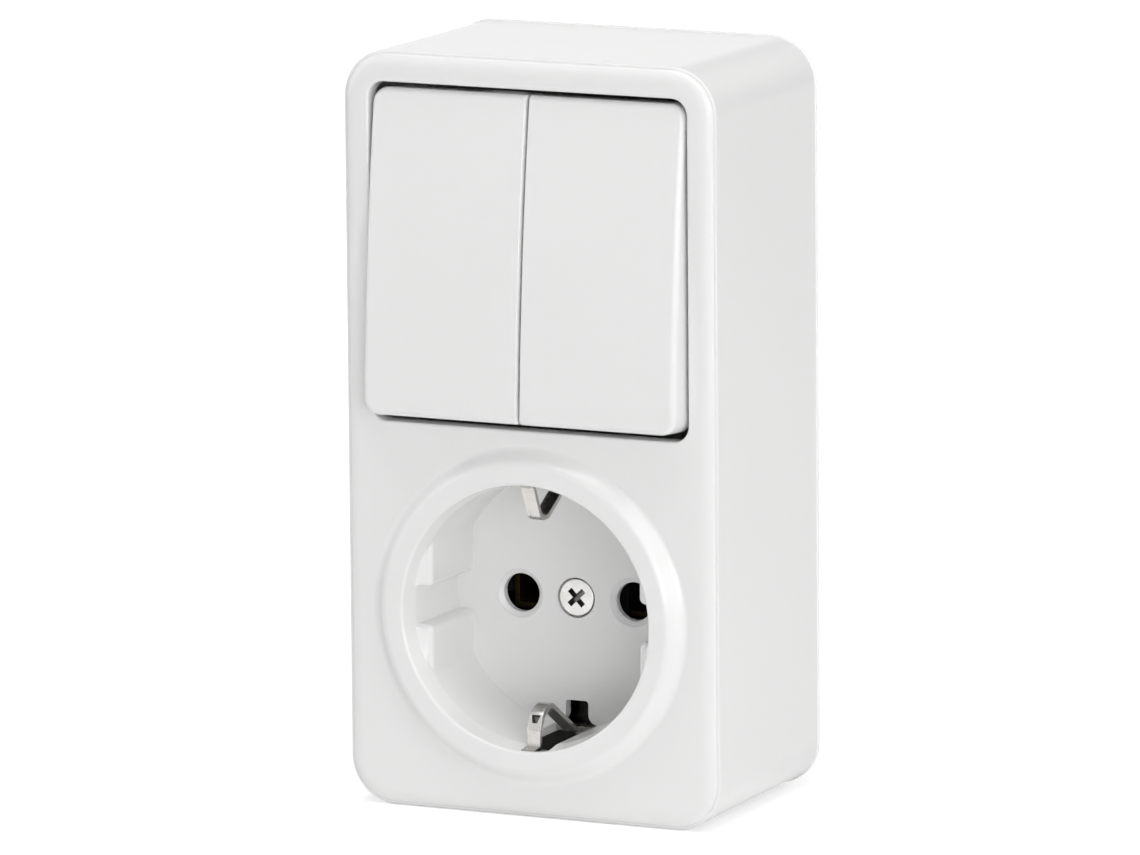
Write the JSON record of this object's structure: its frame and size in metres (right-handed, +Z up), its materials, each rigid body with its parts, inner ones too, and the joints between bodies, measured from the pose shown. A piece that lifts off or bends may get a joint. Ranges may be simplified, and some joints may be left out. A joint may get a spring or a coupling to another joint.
{
  "type": "switch and socket combination",
  "caption": "Surface-mounted wall unit with a twin rocker switch above a round earthed socket with side earth clips, in glossy white plastic.",
  "frame": {"origin": "middle of the wall side, where the back of the housing and of the base plate touch the wall", "axes": "+X to the right as seen from the front, +Z up, +Y into the wall, so the rockers and the socket face -Y"},
  "size_m": [0.0618, 0.0423, 0.1164],
  "materials": {
    "white_plastic": "glossy moulded thermoplastic",
    "grey_plastic": "matt moulded thermoset",
    "black_plastic": "black moulded thermoset",
    "screw_steel": "bright zinc plating",
    "spring_steel": "drawn spring wire",
    "contact_brass": "rolled brass",
    "contact_metal": "bright contact rivet metal",
    "earth_metal": "nickel-plated spring strip"
  },
  "bodies": {
    "housing": {"cover": "white_plastic", "cover_screw": "screw_steel", "base_plate": "grey_plastic", "switch_body": "grey_plastic", "switch_body_screw_1": "screw_steel", "switch_body_screw_2": "screw_steel", "switch_body_screw_3": "screw_steel", "live_busbar": "contact_brass", "live_busbar_screw": "screw_steel", "left_output_terminal": "contact_brass", "left_output_terminal_screw": "screw_steel", "left_fixed_contact": "contact_metal", "right_output_terminal": "contact_brass", "right_output_terminal_screw": "screw_steel", "right_fixed_contact": "contact_metal", "socket_insert": "black_plastic", "insert_screw_1": "screw_steel", "insert_screw_2": "screw_steel", "left_pin_contact": "contact_brass", "left_pin_contact_screw": "screw_steel", "right_pin_contact": "contact_brass", "right_pin_contact_screw": "screw_steel", "earth_strap": "earth_metal", "earth_nut": "contact_brass", "earth_screw": "screw_steel"},
    "left_rocker_body": {"left_rocker": "white_plastic", "left_toggle": "grey_plastic", "left_spring": "spring_steel"},
    "right_rocker_body": {"right_rocker": "white_plastic", "right_toggle": "grey_plastic", "right_spring": "spring_steel"},
    "left_plunger_body": {"left_plunger": "grey_plastic"},
    "right_plunger_body": {"right_plunger": "grey_plastic"},
    "left_blade_body": {"left_contact_blade": "contact_brass", "left_moving_contact": "contact_metal"},
    "right_blade_body": {"right_contact_blade": "contact_brass", "right_moving_contact": "contact_metal"}
  },
  "joints": [
    {"name": "left_rocker_hinge", "type": "hinge", "parent": "housing", "child": "left_rocker_body", "pos_m": [-0.01307, -0.0358, 0.02752], "axis": [1, 0, 0], "range_deg": [0, 10.6]},
    {"name": "right_rocker_hinge", "type": "hinge", "parent": "housing", "child": "right_rocker_body", "pos_m": [0.01307, -0.0358, 0.02752], "axis": [1, 0, 0], "range_deg": [0, 10.6]},
    {"name": "left_plunger_slide", "type": "slide", "parent": "left_rocker_body", "child": "left_plunger_body", "axis": [0, -0.9957, 0.0924], "range_m": [0, 0.0005], "stiffness_N_per_m": 400, "springref_m": -0.002},
    {"name": "right_plunger_slide", "type": "slide", "parent": "right_rocker_body", "child": "right_plunger_body", "axis": [0, -0.9957, 0.0924], "range_m": [0, 0.0005], "stiffness_N_per_m": 400, "springref_m": -0.002},
    {"name": "left_blade_pivot", "type": "hinge", "parent": "housing", "child": "left_blade_body", "pos_m": [-0.01307, -0.0175, 0.02752], "axis": [1, 0, 0], "range_deg": [-16, 0]},
    {"name": "right_blade_pivot", "type": "hinge", "parent": "housing", "child": "right_blade_body", "pos_m": [0.01307, -0.0175, 0.02752], "axis": [1, 0, 0], "range_deg": [-16, 0]}
  ],
  "couplings": [
    {"joint": "left_blade_pivot", "follows": "left_rocker_hinge", "ratio": -1.5},
    {"joint": "right_blade_pivot", "follows": "right_rocker_hinge", "ratio": -1.5}
  ]
}
